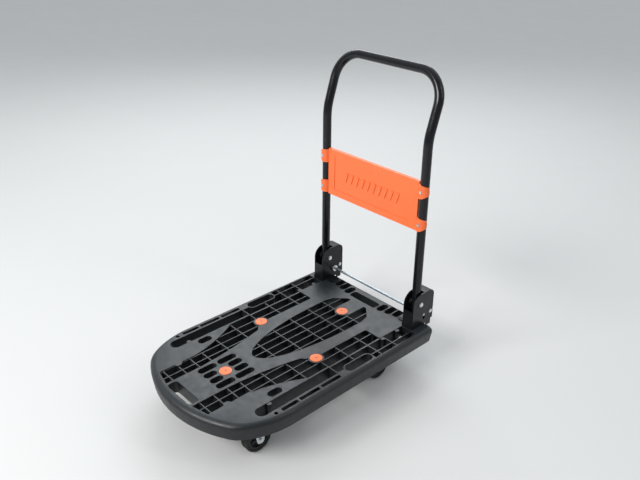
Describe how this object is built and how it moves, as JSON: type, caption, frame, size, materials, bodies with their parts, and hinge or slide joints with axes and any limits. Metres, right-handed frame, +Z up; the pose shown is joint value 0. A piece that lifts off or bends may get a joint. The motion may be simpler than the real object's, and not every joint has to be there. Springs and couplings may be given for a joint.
{
  "type": "folding platform cart",
  "caption": "Folding platform cart: moulded ribbed deck with rounded nose on four casters and a tube push handle that folds flat over the deck, locked by a sprung foot bar.",
  "frame": {"origin": "on the floor under the middle of the cart's bounding box", "axes": "+Z up, +Y from the rounded nose towards the push handle, +X to the right of someone who looks along +Y"},
  "size_m": [0.48, 0.7736, 0.8737],
  "materials": {
    "deck_plastic": "fine moulded grain, matte",
    "orange_plastic": "satin moulded",
    "black_steel": "semi-gloss black paint",
    "gloss_black_tube": "gloss black paint",
    "tyre_rubber": "matte",
    "hub_plastic": "moulded",
    "nylon": "black moulded",
    "bright_steel": "bright",
    "zinc_steel": "zinc plated"
  },
  "bodies": {
    "root": {"deck": "deck_plastic", "insert_rear": "orange_plastic", "insert_left": "orange_plastic", "insert_right": "orange_plastic", "insert_front": "orange_plastic", "bracket_left": "black_steel", "bracket_right": "black_steel", "bracket_bolts_left": "black_steel", "bracket_bolts_right": "black_steel", "pivot_bolt_left": "zinc_steel", "pivot_bolt_right": "zinc_steel", "pivot_sleeve_left": "bright_steel", "pivot_sleeve_right": "bright_steel", "pivot_washers_left": "nylon", "pivot_washers_right": "nylon", "stop_rivet_left": "zinc_steel", "stop_rivet_right": "zinc_steel", "bar_spring_left": "bright_steel", "bar_spring_right": "bright_steel", "front_fork_left": "zinc_steel", "front_axle_left": "zinc_steel", "front_screws_left": "zinc_steel", "swivel_plate_left": "zinc_steel", "swivel_pin_left": "zinc_steel", "swivel_balls_left": "bright_steel", "rear_screws_left": "zinc_steel", "front_fork_right": "zinc_steel", "front_axle_right": "zinc_steel", "front_screws_right": "zinc_steel", "swivel_plate_right": "zinc_steel", "swivel_pin_right": "zinc_steel", "swivel_balls_right": "bright_steel", "rear_screws_right": "zinc_steel"},
    "handle": {"handle_tube": "gloss_black_tube", "lock_plate_left": "black_steel", "lock_plate_right": "black_steel", "handle_plate": "orange_plastic", "plate_screws": "zinc_steel"},
    "foot_bar": {"lock_bar": "zinc_steel", "bar_collar_left": "zinc_steel", "bar_collar_right": "zinc_steel"},
    "front_wheel_left": {"front_hub_left": "hub_plastic", "front_tyre_left": "tyre_rubber"},
    "swivel_left": {"rear_fork_left": "zinc_steel", "rear_axle_left": "zinc_steel"},
    "rear_wheel_left": {"rear_hub_left": "hub_plastic", "rear_tyre_left": "tyre_rubber"},
    "front_wheel_right": {"front_hub_right": "hub_plastic", "front_tyre_right": "tyre_rubber"},
    "swivel_right": {"rear_fork_right": "zinc_steel", "rear_axle_right": "zinc_steel"},
    "rear_wheel_right": {"rear_hub_right": "hub_plastic", "rear_tyre_right": "tyre_rubber"}
  },
  "joints": [
    {"name": "handle_fold", "type": "hinge", "parent": "root", "child": "handle", "pos_m": [0, 0.32271, 0.213], "axis": [1, 0, 0], "range_deg": [0, 90]},
    {"name": "bar_press", "type": "slide", "parent": "root", "child": "foot_bar", "axis": [0, 0, -1], "range_m": [0, 0.011], "stiffness_N_per_m": 900, "springref_m": -0.004, "deforming": ["bar_spring_left", "bar_spring_right"]},
    {"name": "front_wheel_spin_left", "type": "hinge", "parent": "root", "child": "front_wheel_left", "pos_m": [-0.158, -0.24179, 0.04], "axis": [1, 0, 0], "continuous": true},
    {"name": "swivel_turn_left", "type": "hinge", "parent": "root", "child": "swivel_left", "pos_m": [-0.158, 0.23021, 0.04], "axis": [0, 0, 1], "continuous": true},
    {"name": "rear_wheel_spin_left", "type": "hinge", "parent": "swivel_left", "child": "rear_wheel_left", "pos_m": [-0.158, 0.19821, 0.04], "axis": [1, 0, 0], "continuous": true},
    {"name": "front_wheel_spin_right", "type": "hinge", "parent": "root", "child": "front_wheel_right", "pos_m": [0.158, -0.24179, 0.04], "axis": [1, 0, 0], "continuous": true},
    {"name": "swivel_turn_right", "type": "hinge", "parent": "root", "child": "swivel_right", "pos_m": [0.158, 0.23021, 0.04], "axis": [0, 0, 1], "continuous": true},
    {"name": "rear_wheel_spin_right", "type": "hinge", "parent": "swivel_right", "child": "rear_wheel_right", "pos_m": [0.158, 0.19821, 0.04], "axis": [1, 0, 0], "continuous": true}
  ]
}
